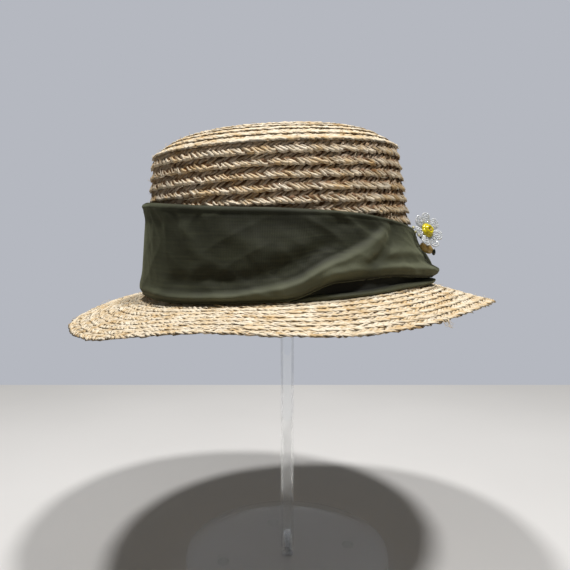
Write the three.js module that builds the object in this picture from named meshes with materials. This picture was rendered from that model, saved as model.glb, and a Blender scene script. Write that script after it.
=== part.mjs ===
// A plaited straw boater hat with a folded cloth band and a small beaded flower,
// held up by a clear rod on a round clear foot.
// Millimetres, +Z up. The origin is on the floor under the middle of the brim.

import * as THREE from 'three';

const TAU = Math.PI * 2;
const deg = Math.PI / 180;

// Stand
const FOOT_HEIGHT = 1.7;
const FOOT_RADIUS = 4.5;
const FOOT_CIRCLE = 50;
const FOOT_ANGLES = [14, 104, 194, 284];
const DISC_RADIUS = 77.5;
const DISC_LOW = 2;
const DISC_HIGH = 7;
const ROD_RADIUS = 5;
const ROD_X = 4.8;
const ROD_LOW = 7.3;
const ROD_HIGH = 318.8;
const CAP_LOW = 310.8;
const GAP = 0.3;

// Hat: where it sits on the rod and how it leans
const HAT_X = 0.6;
const HAT_Z = 208;
const LEAN_LEFT = 2.8 * deg;
const LEAN_FRONT = 2.1 * deg;

// Crown: half axes of the oval at the brim, wall height up to the domed top, row pitch
const CROWN_A = 101.5;
const CROWN_B = 83.2;
const TAPER = 0.13;
const WALL_HEIGHT = 98.2;
const ROW = 7.84;
const DOME = 21.4;
const DOME_EASE = 22;
const STRAW = 2.6;
const LIP = 0.9;
const BRIM_UNDER = 1.3;
const SIDE_ROWS = 9;
const TOP_ROW = 7.6;
const TOP_ROWS = 9;

// Brim tables, one value per direction: 0 is the right end, 90 the far side,
// 180 the left end and 270 the near side
const BRIM_DROP = [
  17.6, 19.2, 17.6, 13.6, 9.4, 6.5, 4.8, 3.5, 3.2, 4.4, 6.6, 9.4,
  11.8, 13.1, 14.2, 13.6, 8.8, 6.1, 9.1, 12.1, 11.6, 9.6, 10, 14.1,
];
const BRIM_WIDTH = [50.2, 57.5, 51.2, 57];
const BRIM_JOIN = [1.5, 0, -1, -1];
const BRIM_POWER = 1.06;
const BRIM_OUTLINE = 2.08;
const BRIM_ROWS = 8;

// Cloth band: height of its top edge every 15 degrees from 0 to 345
const BAND_TOP = [
  34, 37, 42, 47, 51, 54, 57, 59.5, 61.5, 63.5, 65.5, 67,
  68.6, 68.4, 67, 64.8, 62.3, 60, 58.2, 55.8, 53, 49, 44.6, 40,
];
const BAND_START = 9;
const BAND_END = 350;
const BAND_CLEAR = 1.35;
const HEM_START = 273;

const straw = new THREE.MeshStandardMaterial({ color: 0xcdb38a, roughness: 0.75, metalness: 0 });
const cloth = new THREE.MeshStandardMaterial({ color: 0x3b3e2c, roughness: 0.85, metalness: 0 });
const clear = new THREE.MeshStandardMaterial({ color: 0xdfe5e6, roughness: 0.08, metalness: 0 });
const steel = new THREE.MeshStandardMaterial({ color: 0xb9bbbd, roughness: 0.3, metalness: 1 });
const glassBead = new THREE.MeshStandardMaterial({ color: 0xe9edf0, roughness: 0.12, metalness: 0 });
const yellowBead = new THREE.MeshStandardMaterial({ color: 0xd7bf1c, roughness: 0.3, metalness: 0 });
const amberBead = new THREE.MeshStandardMaterial({ color: 0x9c7b3a, roughness: 0.2, metalness: 0 });
const darkBead = new THREE.MeshStandardMaterial({ color: 0x23281c, roughness: 0.3, metalness: 0 });

// Smooth value from a table of equally spaced directions
function around(table, angle) {
  const n = table.length;
  const at = (((angle / TAU) % 1) + 1) % 1 * n;
  const i = Math.floor(at);
  const u = at - i;
  const p = [-1, 0, 1, 2].map((k) => table[(i + k + n) % n]);
  return 0.5 * (2 * p[1] + (p[2] - p[0]) * u + (2 * p[0] - 5 * p[1] + 4 * p[2] - p[3]) * u * u
    + (3 * p[1] - p[0] - 3 * p[2] + p[3]) * u * u * u);
}

function smooth(low, high, value) {
  const t = Math.min(1, Math.max(0, (value - low) / (high - low)));
  return t * t * (3 - 2 * t);
}

// Closed mesh from points and triangles, turned so that its faces point out
function closedMesh(name, points, faces, material) {
  let volume = 0;
  for (const [a, b, c] of faces) {
    volume += points[a].dot(new THREE.Vector3().crossVectors(points[b], points[c]));
  }
  const index = volume < 0 ? faces.flatMap(([a, b, c]) => [a, c, b]) : faces.flat();
  const geometry = new THREE.BufferGeometry();
  geometry.setAttribute('position',
    new THREE.Float32BufferAttribute(points.flatMap((p) => [p.x, p.y, p.z]), 3));
  geometry.setIndex(index);
  geometry.computeVertexNormals();
  const mesh = new THREE.Mesh(geometry, material);
  mesh.name = name;
  return mesh;
}

// Skin over a row of rings: 'ring' joins the last ring to the first,
// 'point' closes each end on the ring's middle
function skin(name, rings, ends, material) {
  const n = rings[0].length;
  const points = rings.flat();
  const faces = [];
  const last = ends === 'ring' ? rings.length : rings.length - 1;
  for (let r = 0; r < last; r++) {
    const s = (r + 1) % rings.length;
    for (let i = 0; i < n; i++) {
      const j = (i + 1) % n;
      faces.push([r * n + i, r * n + j, s * n + j], [r * n + i, s * n + j, s * n + i]);
    }
  }
  if (ends === 'point') {
    for (const [r, turn] of [[0, -1], [rings.length - 1, 1]]) {
      const middle = rings[r].reduce((m, p) => m.add(p), new THREE.Vector3()).divideScalar(n);
      points.push(middle);
      for (let i = 0; i < n; i++) {
        const j = (i + 1) % n;
        const face = [r * n + i, r * n + j, points.length - 1];
        faces.push(turn > 0 ? face : [face[1], face[0], face[2]]);
      }
    }
  }
  return closedMesh(name, points, faces, material);
}

// Point beside the crown wall: angle, distance out from the plain wall, height above the brim
function onWall(angle, out, z) {
  const o = out - TAPER * z;
  return new THREE.Vector3((CROWN_A + o) * Math.cos(angle), (CROWN_B + o) * Math.sin(angle), z);
}

const joinHeight = (angle) => around(BRIM_JOIN, angle);

const CROWN_SIDES = 48;

function wallRing(out, height) {
  return Array.from({ length: CROWN_SIDES }, (_, i) => {
    const angle = (i / CROWN_SIDES) * TAU;
    return onWall(angle, out, height(angle));
  });
}

function topRing(inset, z) {
  const a = CROWN_A - TAPER * WALL_HEIGHT - inset;
  const b = CROWN_B - TAPER * WALL_HEIGHT - inset;
  return Array.from({ length: CROWN_SIDES }, (_, i) => {
    const angle = (i / CROWN_SIDES) * TAU;
    return new THREE.Vector3(a * Math.cos(angle), b * Math.sin(angle), z);
  });
}

// Crown side: oval wall of lapped straw rows, smooth behind the band and inside
function makeCrownSide() {
  const foot = (a) => joinHeight(a) + GAP + 0.05;
  const head = WALL_HEIGHT - 0.4;
  const rings = [wallRing(-STRAW, () => head)];
  for (const z of [66, 33]) rings.push(wallRing(-STRAW, () => z));
  rings.push(wallRing(-STRAW, foot), wallRing(0.2, foot));
  for (let k = SIDE_ROWS; k >= 1; k--) {
    rings.push(wallRing(LIP, () => WALL_HEIGHT - k * ROW));
    rings.push(wallRing(0.1, () => WALL_HEIGHT - (k - 1) * ROW - 0.4));
  }
  return skin('crown_side', rings, 'ring', straw);
}

// Point of the domed top's profile: way in along the surface from the wall, and lift off it
function domePoint(way, lift) {
  let inset = 0;
  for (let s = 0; s < way; s += 0.25) {
    const slope = (DOME / DOME_EASE) * Math.exp(-inset / DOME_EASE);
    inset += Math.min(0.25, way - s) / Math.hypot(1, slope);
  }
  const slope = Math.atan((DOME / DOME_EASE) * Math.exp(-inset / DOME_EASE));
  return [
    inset - lift * Math.sin(slope),
    WALL_HEIGHT + DOME * (1 - Math.exp(-inset / DOME_EASE)) + lift * Math.cos(slope),
  ];
}

// Crown top: a shallow oval dome of lapped straw rows that starts at an edge
function makeCrownTop() {
  const inner = [wallRing(-STRAW, () => WALL_HEIGHT)];
  for (const way of [3.4, 12, 24, 40, 58]) inner.push(topRing(...domePoint(way, -STRAW)));
  const outer = [wallRing(LIP, () => WALL_HEIGHT)];
  for (let k = 0; k < TOP_ROWS; k++) {
    outer.push(topRing(...domePoint(k * TOP_ROW, LIP)));
    outer.push(topRing(...domePoint((k + 1) * TOP_ROW - 0.4, 0.1)));
  }
  return skin('crown_top', [...inner.reverse(), ...outer], 'point', straw);
}

// Brim surface: angle, share of the way out, height added
function onBrim(angle, share, lift) {
  const width = around(BRIM_WIDTH, angle) * Math.max(0, share);
  const drop = around(BRIM_DROP, angle) * Math.pow(Math.max(0, share), BRIM_POWER);
  const e = 2 + (BRIM_OUTLINE - 2) * Math.max(0, share);
  const c = Math.cos(angle);
  const s = Math.sin(angle);
  const k = Math.pow(Math.abs(c) ** e + Math.abs(s) ** e, -1 / e);
  const inward = share < 0 ? share * 57 : 0;
  return new THREE.Vector3(
    (CROWN_A + width + inward) * c * k,
    (CROWN_B + width + inward) * s * k,
    joinHeight(angle) - drop + lift,
  );
}

// Brim: eight lapped straw rows that droop most at the left end
function makeBrim() {
  const n = 56;
  const ring = (share, lift) => Array.from({ length: n }, (_, i) => onBrim((i / n) * TAU, share, lift));
  const rings = [ring(-STRAW / 57, 0.1), ring(0.004, 0.1)];
  for (let k = 1; k <= BRIM_ROWS; k++) {
    rings.push(ring((k - 0.06) / BRIM_ROWS, LIP));
    if (k < BRIM_ROWS) rings.push(ring((k + 0.02) / BRIM_ROWS, 0.1));
  }
  rings.push(ring(1, -0.3));
  rings.push(ring(0.985, -BRIM_UNDER));
  for (const share of [0.75, 0.5, 0.25, 0]) rings.push(ring(share, -BRIM_UNDER));
  rings.push(ring(-STRAW / 57, -BRIM_UNDER));
  return skin('brim', rings, 'ring', straw);
}

// How far the gathered cloth stands off the wall near the tie at the right end
function gather(angle) {
  const a = (((angle / deg) % 360) + 360) % 360;
  return a > 180 ? smooth(296, 352, a) : smooth(62, 8, a);
}

// Bottom edge of the band: on the brim, and lifted over the lower fold at the near right
function bandBottom(angle) {
  const a = (((angle / deg) % 360) + 360) % 360;
  const left = 2.6 * smooth(232, 200, a) * smooth(120, 170, a);
  const overHem = 6.6 * smooth(270, 291, a) - 4.3 * smooth(308, 338, a);
  return joinHeight(angle) + LIP + 0.5 + left + overHem;
}

// Outer face of the band: share 0 is the bottom edge and share 1 the top edge
function bandOut(angle, share, z) {
  const a = (((angle / deg) % 360) + 360) % 360;
  const leftness = smooth(250, 205, a) * smooth(110, 160, a);
  const flare = 2.6 * leftness * smooth(0.78, 0.98, share);
  const bottomRoll = 1.2 * leftness * Math.exp(-(((share - 0.1) / 0.09) ** 2));
  const ridgeHeight = 9 + 24 * smooth(250, 330, a);
  const ridge = 1.1 * smooth(240, 262, a) * smooth(340, 318, a) * Math.exp(-(((z - ridgeHeight) / 5) ** 2));
  const lump = 6.8 * smooth(322, 348, a) * Math.exp(-(((share - 0.165) / 0.105) ** 2));
  const pull = gather(angle) * (9 * Math.max(0, 1 - share) ** 1.3 + lump);
  const full = smooth(315, 335, a);
  const round = 1 - 0.7 * smooth(0.93, 1, share) - (0.7 - 0.52 * full) * smooth(0.08, 0, share);
  return BAND_CLEAR + (1.9 + flare + bottomRoll + ridge + pull) * round;
}

// Folded cloth band around the crown, open behind the tie
function makeBand() {
  const steps = 56;
  const shares = [0, 0.05, 0.14, 0.28, 0.44, 0.6, 0.78, 0.93, 1];
  const rings = [];
  for (let i = 0; i <= steps; i++) {
    const angle = (BAND_START + (i / steps) * (BAND_END - BAND_START)) * deg;
    const low = bandBottom(angle);
    const high = around(BAND_TOP, angle);
    const section = shares.map((share) => {
      const z = low + (high - low) * share;
      return onWall(angle, bandOut(angle, share, z), z);
    });
    for (const share of [0.98, 0.5, 0.02]) {
      section.push(onWall(angle, BAND_CLEAR, low + (high - low) * share));
    }
    rings.push(section);
  }
  return skin('scarf_band', rings, 'point', cloth);
}

// Lower fold of the band that shows below it at the near right and lies on the brim
function makeHem() {
  const steps = 24;
  const rings = [];
  for (let i = 0; i <= steps; i++) {
    const u = i / steps;
    const a = HEM_START + u * (BAND_END - HEM_START);
    const angle = a * deg;
    const out = 0.8 + 2.8 * smooth(HEM_START, 300, a) + 8 * smooth(315, 346, a);
    const share = (BAND_CLEAR + out / 2) / around(BRIM_WIDTH, angle);
    const low = joinHeight(angle) - around(BRIM_DROP, angle) * share ** BRIM_POWER + LIP + 0.45;
    const high = bandBottom(angle) - 0.9;
    const half = (high - low) / 2;
    rings.push(Array.from({ length: 10 }, (_, k) => {
      const t = (k / 10) * TAU;
      return onWall(angle, BAND_CLEAR + out * (1 + Math.cos(t)) * 0.5, low + half * (1 + Math.sin(t)));
    }));
  }
  return skin('scarf_hem', rings, 'point', cloth);
}

// Tie of the band at the right end: a pinched bundle of cloth across the gap, fuller below
function makeTie() {
  const steps = 10;
  const rings = [];
  for (let i = 0; i <= steps; i++) {
    const u = i / steps;
    const a = -9.2 + u * 17.4;
    const swell = Math.sin(Math.PI * (0.12 + 0.76 * u));
    const middle = 18;
    const half = 9.5 + 4.6 * swell;
    rings.push(Array.from({ length: 14 }, (_, k) => {
      const t = (k / 14) * TAU;
      const pinch = 1 - 0.08 * Math.cos(3 * t);
      const out = (5.4 + 4.8 * swell) * (1 - 0.42 * Math.sin(t));
      return onWall(a * deg, BAND_CLEAR + 0.1 + out * 0.5 * (1 + Math.cos(t) * pinch / 1.08),
        middle + half * Math.sin(t) * pinch);
    }));
  }
  return skin('scarf_tie', rings, 'point', cloth);
}

// Round loop petal: a ring of small beads, drawn as one plain tube
function makePetal(name, turn) {
  const n = 10;
  const m = 5;
  const tube = 1.05;
  const rings = Array.from({ length: n }, (_, i) => {
    const t = (i / n) * TAU;
    const path = new THREE.Vector3(8.6 + 3.4 * Math.cos(t), 2.5 * Math.sin(t), 1.25 + 1.25 * Math.cos(t));
    const away = new THREE.Vector3(3.4 * Math.cos(t) / 3.4, Math.sin(t), 0).normalize();
    return Array.from({ length: m }, (_, k) => {
      const s = (k / m) * TAU;
      return path.clone().addScaledVector(away, tube * Math.cos(s)).add(new THREE.Vector3(0, 0, tube * Math.sin(s)));
    });
  });
  const mesh = skin(name, rings, 'ring', glassBead);
  mesh.rotation.z = turn;
  return mesh;
}

function lathe(name, profile, segments, material) {
  const geometry = new THREE.LatheGeometry(profile.map(([r, z]) => new THREE.Vector2(r, z)), segments);
  geometry.rotateX(Math.PI / 2);
  const mesh = new THREE.Mesh(geometry, material);
  mesh.name = name;
  return mesh;
}

// Beaded flower pinned beside the tie, its face turned up and to the front right
function makeFlower() {
  const flower = new THREE.Group();
  const petals = 7;
  for (let i = 0; i < petals; i++) {
    flower.add(makePetal(`flower_petal_${i + 1}`, (i / petals) * TAU - 1.3));
  }
  flower.add(lathe('flower_centre',
    [[0, -0.6], [3.2, -0.6], [4, 0.6], [3.7, 2.2], [2.2, 3.6], [0, 4.1]], 14, yellowBead));
  flower.add(lathe('flower_back', [[0, -4], [5.6, -4], [5.6, -1.4], [0, -1.4]], 16, cloth));
  return flower;
}

function makeStone(name, position, size, turn, material) {
  const geometry = new THREE.SphereGeometry(1, 10, 7);
  geometry.scale(size[0], size[1], size[2]);
  geometry.rotateY(turn);
  const mesh = new THREE.Mesh(geometry, material);
  mesh.name = name;
  mesh.position.set(...position);
  return mesh;
}

const object = new THREE.Group();

// The hat leans to its left end and to the front
const hat = new THREE.Group();
hat.position.set(HAT_X, 0, HAT_Z);
hat.rotation.set(LEAN_FRONT, -LEAN_LEFT, 0, 'YXZ');
hat.add(makeCrownSide(), makeCrownTop(), makeBrim(), makeBand(), makeHem(), makeTie());

const flower = makeFlower();
flower.position.set(103.8, -26, 38.2);
flower.rotation.set(70 * deg, 0, 35 * deg, 'ZXY');
hat.add(flower);
hat.add(makeStone('flower_drop', [102.2, -31, 25.4], [4.2, 2, 2.8], 40 * deg, amberBead));
hat.add(makeStone('flower_drop_end', [107.3, -31, 23.6], [1.3, 1.5, 2.4], 0, darkBead));
object.add(hat);

// Stand
const stand = new THREE.Group();
stand.position.x = ROD_X;
stand.add(lathe('stand_disc', [
  [2.6, DISC_LOW], [DISC_RADIUS - 0.6, DISC_LOW], [DISC_RADIUS, DISC_LOW + 0.6],
  [DISC_RADIUS, DISC_HIGH - 0.6], [DISC_RADIUS - 0.6, DISC_HIGH], [2.6, DISC_HIGH], [2.6, DISC_LOW],
], 48, clear));
stand.add(lathe('stand_rod', [
  [0, ROD_LOW + 12], [2.5, ROD_LOW + 12], [2.5, ROD_LOW], [ROD_RADIUS, ROD_LOW],
  [ROD_RADIUS, ROD_HIGH], [0, ROD_HIGH],
], 24, clear));
stand.add(lathe('stand_cap', [
  [ROD_RADIUS + GAP, CAP_LOW], [30, CAP_LOW], [32, CAP_LOW + 2], [32, CAP_LOW + 5],
  [26, CAP_LOW + 8.5], [14, CAP_LOW + 11.4], [0, CAP_LOW + 12.4],
  [0, ROD_HIGH + GAP], [ROD_RADIUS + GAP, ROD_HIGH + GAP], [ROD_RADIUS + GAP, CAP_LOW],
], 24, clear));
stand.add(lathe('stand_screw', [
  [0, 0.4], [4.2, 0.4], [4.6, 0.9], [4.6, DISC_LOW - GAP], [2.2, DISC_LOW - GAP],
  [2.2, ROD_LOW + 11], [0, ROD_LOW + 11],
], 16, steel));
FOOT_ANGLES.forEach((turn, i) => {
  const foot = lathe(`stand_foot_${i + 1}`, [
    [0, 0], [FOOT_RADIUS - 0.3, 0], [FOOT_RADIUS, FOOT_HEIGHT], [0, FOOT_HEIGHT],
  ], 16, clear);
  foot.position.set(FOOT_CIRCLE * Math.cos(turn * deg), FOOT_CIRCLE * Math.sin(turn * deg), 0);
  stand.add(foot);
});
object.add(stand);

export default object;
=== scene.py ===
"""A plaited straw boater with a folded cloth band and a beaded flower, on a clear rod stand."""

import math

import bmesh
import bpy
import numpy as np
from mathutils import Matrix, Vector


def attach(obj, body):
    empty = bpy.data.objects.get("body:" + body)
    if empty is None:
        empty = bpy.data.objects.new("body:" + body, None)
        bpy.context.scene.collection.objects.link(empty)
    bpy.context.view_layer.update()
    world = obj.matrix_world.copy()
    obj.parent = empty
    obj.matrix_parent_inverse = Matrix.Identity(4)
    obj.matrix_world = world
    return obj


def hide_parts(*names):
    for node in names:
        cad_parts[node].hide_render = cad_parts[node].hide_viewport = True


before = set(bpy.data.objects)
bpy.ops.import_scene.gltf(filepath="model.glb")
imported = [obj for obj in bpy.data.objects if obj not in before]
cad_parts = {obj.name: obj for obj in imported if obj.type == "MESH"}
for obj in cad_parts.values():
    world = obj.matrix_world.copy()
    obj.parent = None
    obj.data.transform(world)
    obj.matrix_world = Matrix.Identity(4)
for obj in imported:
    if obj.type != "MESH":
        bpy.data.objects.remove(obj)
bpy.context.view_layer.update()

bl_info = {
    "name": "Straw boater on a stand",
    "version": (1, 0, 0),
    "blender": (4, 5, 0),
    "location": "View3D > Sidebar > Boater",
    "description": "Makes a plaited straw boater, its cloth band, flower and clear stand",
    "category": "Add Mesh",
}

MM = 0.001
TAU = 2 * math.pi
RADIAN = 57.3  # degrees
STRAW = "plaited_raffia"
COTTON = "olive_cotton_sateen"

# The hat's own frame, in millimetres: 0 degrees is the right end, 90 the far side,
# 180 the left end and 270 the near side
# Place of the hat on the rod, and how far it leans
HAT_X = 0.6
HAT_Z = 208
LEAN_LEFT = math.radians(2.8)
LEAN_FRONT = math.radians(2.1)
# Crown: half axes of the oval at the brim, taper and height of the wall, way from row to row,
# rise of the domed top and how soon it flattens
CROWN_A = 101.5
CROWN_B = 83.2
TAPER = 0.13
WALL_HEIGHT = 98.2
ROW = 7.84
DOME = 21.4
DOME_EASE = 22
WALL_ROWS = 13
LOWEST_ROW = -1.6
TOP_ROW = 7.6
TOP_ROWS = 10
# Brim: how far its edge falls, its width and the height of its join, for equally spaced
# directions from 0 degrees; then the curve of its fall and how square its outline is
BRIM_DROP = (
    17.6, 19.2, 17.6, 13.6, 9.4, 6.5, 4.8, 3.5, 3.2, 4.4, 6.6, 9.4,
    11.8, 13.1, 14.2, 13.6, 8.8, 6.1, 9.1, 12.1, 11.6, 9.6, 10, 14.1,
)
BRIM_WIDTH = (50.2, 57.5, 51.2, 57)
BRIM_JOIN = (1.5, 0, -1, -1)
BRIM_POWER = 1.06
BRIM_OUTLINE = 2.08
BRIM_ROWS = 8
# Width of a brim row in parts of the way from one row to the next
BRIM_ROW_SHARE = 1.27
# Mean width of the brim, and the mean radius of brim and crown
BRIM_REACH = 57
BRIM_RADIUS = 130
CROWN_RADIUS = 92
# Cloth band: height of its top edge every 15 degrees, its ends and how far off the wall it lies
BAND_TOP = (
    34, 37, 42, 47, 51, 54, 57, 59.5, 61.5, 63.5, 65.5, 67,
    68.6, 68.4, 67, 64.8, 62.3, 60, 58.2, 55.8, 53, 49, 44.6, 40,
)
BAND_START = 9
BAND_END = 350
BAND_CLEAR = 1.35
BAND_HEIGHT = 56
# The degrees around the wall that are as far as the band is high
BAND_HEIGHT_TURN = 38
LOWER_FOLD_START = 273
CLOTH_THICKNESS = 1.6
# The stand's middle, to the right of the frame's
ROD_X = 4.8

# The line above which the cloth steps back: (degrees, share of the height, height of the step in mm)
LIP = (
    (196, 0.13, 0.4), (211, 0.13, 1.8), (226, 0.10, 2.9), (242, 0.10, 3.8), (255, 0.115, 4.2),
    (266, 0.16, 4.0), (277, 0.22, 5.4), (292, 0.36, 5.4), (303, 0.54, 3.6), (313, 0.82, 1.6),
    (318, 0.97, 0.4),
)

FOLD_STRENGTH = 1.3
# Soft folds of the band: points as (degrees, share of the height), height in mm, half width in share
FOLDS = (
    (((304, 0.20), (309, 0.37), (315, 0.63), (319, 0.87)), -1.2, 0.09),
    (((296, 0.22), (306, 0.42), (312, 0.66)), 1.2, 0.09),
    (((314, 0.40), (326, 0.46), (338, 0.44)), 1.3, 0.09),
    (((286, 0.14), (300, 0.16), (320, 0.18), (338, 0.17)), 1.6, 0.07),
    (((234, 0.76), (237, 0.59), (242, 0.43), (237, 0.26)), 0.7, 0.08),
    (((252, 0.73), (264, 0.55), (272, 0.53)), 0.7, 0.09),
    (((228, 0.22), (243, 0.26), (256, 0.24), (266, 0.30)), -1.3, 0.08),
    (((269, 0.34), (277, 0.42), (287, 0.53)), -1.5, 0.09),
    (((292, 0.80), (301, 0.84), (306, 0.76)), -0.9, 0.08),
    (((262, 0.85), (275, 0.80), (288, 0.66)), -0.5, 0.10),
    (((205, 0.62), (218, 0.50), (230, 0.33)), -0.5, 0.12),
    (((20, 0.45), (45, 0.52), (75, 0.42), (100, 0.35)), 1.6, 0.12),
    (((24, 0.75), (50, 0.78), (80, 0.66)), 1.0, 0.09),
    (((22, 0.22), (48, 0.25), (90, 0.16), (130, 0.13), (168, 0.14)), 1.4, 0.09),
    (((105, 0.70), (125, 0.52), (150, 0.45)), 0.7, 0.14),
)


class BoaterSizes(bpy.types.PropertyGroup):
    """Sizes of the straw, the cloth and the beads."""

    plait_width: bpy.props.FloatProperty(
        name="Plait width", description="Width of the flat straw plait", default=0.0098, unit="LENGTH")
    strand_width: bpy.props.FloatProperty(
        name="Strand width", description="Width of one flat straw strand", default=0.00205, unit="LENGTH")
    strand_thickness: bpy.props.FloatProperty(
        name="Strand thickness", description="Thickness of one straw strand", default=0.00095, unit="LENGTH")
    plait_period: bpy.props.FloatProperty(
        name="Plait period", description="Length in which a strand crosses the plait and comes back",
        default=0.025, unit="LENGTH")
    strand_lift: bpy.props.FloatProperty(
        name="Strand lift", description="How far a strand rises and dips where strands cross",
        default=0.0006, unit="LENGTH")
    loose_ends: bpy.props.IntProperty(
        name="Loose straw ends", description="Number of thin fibres that stick out of the plait", default=420)
    bead: bpy.props.FloatProperty(
        name="Bead", description="Diameter of the small glass beads", default=0.0014, unit="LENGTH")
    petals: bpy.props.IntProperty(name="Petals", description="Number of beaded petal loops", default=7)


class BoaterColours(bpy.types.PropertyGroup):
    """Colours of the finishes, as sRGB hex values."""

    straw_pale: bpy.props.StringProperty(
        name="Pale straw", description="Lightest tone of the straw", default="#DFD3BB")
    straw_warm: bpy.props.StringProperty(
        name="Warm straw", description="Middle tone of the straw", default="#CEB488")
    straw_brown: bpy.props.StringProperty(
        name="Brown straw", description="Darkest tone of the straw", default="#AA8450")
    cloth: bpy.props.StringProperty(
        name="Cloth", description="Tone of the band", default="#2F3222")
    petal: bpy.props.StringProperty(
        name="Petal beads", description="Tint of the clear beads", default="#FBFDFE")
    heart: bpy.props.StringProperty(
        name="Yellow beads", description="Colour of the flower's middle", default="#EBE024")


def linear(colour):
    """Linear colour from an sRGB hex value."""
    parts = [int(colour[i:i + 2], 16) / 255 for i in (1, 3, 5)]
    return (*[c / 12.92 if c <= 0.04045 else ((c + 0.055) / 1.055) ** 2.4 for c in parts], 1.0)


def add_node(tree, kind, inputs=None, stops=(), **settings):
    """Adds a shader node. An input that is given a socket is linked to it, and any other is
    set. stops are those of a colour ramp, as (position, hex colour)."""
    node = tree.nodes.new("ShaderNode" + kind)
    for name, value in settings.items():
        setattr(node, name, value)
    for name, value in (inputs or {}).items():
        if isinstance(value, bpy.types.NodeSocket):
            tree.links.new(value, node.inputs[name])
        else:
            node.inputs[name].default_value = value
    if stops:
        elements = node.color_ramp.elements
        while len(elements) < len(stops):
            elements.new(0.5)
        for element, (position, colour) in zip(elements, stops):
            element.position = position
            element.color = linear(colour)
    return node


def new_material(name):
    """An empty material and its node tree."""
    material = bpy.data.materials.new(name)
    material.use_nodes = True
    material.node_tree.nodes.clear()
    return material, material.node_tree


def straw_material(colours):
    # Plaited raffia straw: dry matt leaf strips with fine fibres along each strand,
    # pale and warm strands mixed, with painted shade in brown where a strand passes under
    # the others, towards the tucked upper edge of each row and on the plait's middle layer
    material, tree = new_material(STRAW)
    tone = add_node(tree, "Attribute", attribute_name="tone").outputs["Fac"]
    painted_shade = add_node(tree, "Attribute", attribute_name="painted_shade").outputs["Fac"]
    along = add_node(tree, "UVMap", uv_map="UVMap").outputs["UV"]
    # UV: 1 unit is 10 mm along the strand and one turn around it, about 5 mm, so that the
    # fibres are about 0.4 mm wide and 6 mm long
    stretched = add_node(tree, "Mapping", {"Vector": along, "Scale": (1.8, 13.0, 1.0)}).outputs["Vector"]
    fibres = add_node(tree, "TexNoise", {
        "Vector": stretched, "Scale": 1.0, "Detail": 3.0, "Roughness": 0.6},
        noise_dimensions="2D").outputs["Fac"]
    # Patches of tone are about 10 mm across
    place = add_node(tree, "TexCoord").outputs["Object"]
    patches = add_node(tree, "TexNoise", {"Vector": place, "Scale": 95.0, "Detail": 2.0}).outputs["Fac"]
    mixed = add_node(tree, "Math", {0: tone, 1: 0.16}, operation="MULTIPLY").outputs["Value"]
    for part, share in ((fibres, 0.60), (patches, 0.58)):
        mixed = add_node(tree, "Math", {
            0: part, 1: share, 2: mixed}, operation="MULTIPLY_ADD").outputs["Value"]
    shade = add_node(tree, "ValToRGB", {"Fac": mixed}, (
        (0.36, colours.straw_brown), (0.53, colours.straw_warm), (0.70, colours.straw_pale),
        (0.92, "#EFE7D6")))
    # Painted shade: the point attribute mixes the straw towards brown
    darker = add_node(tree, "Mix", {
        "Factor": painted_shade, "A": shade.outputs["Color"], "B": linear("#7C4C1C")}, data_type="RGBA")
    bump = add_node(tree, "Bump", {"Height": fibres, "Strength": 0.9, "Distance": 0.0004})
    shader = add_node(tree, "BsdfPrincipled", {
        "Base Color": darker.outputs["Result"], "Roughness": 0.62, "IOR": 1.45,
        "Specular IOR Level": 0.35, "Normal": bump.outputs["Normal"]})
    add_node(tree, "OutputMaterial", {"Surface": shader.outputs["BSDF"]})
    return material


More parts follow.
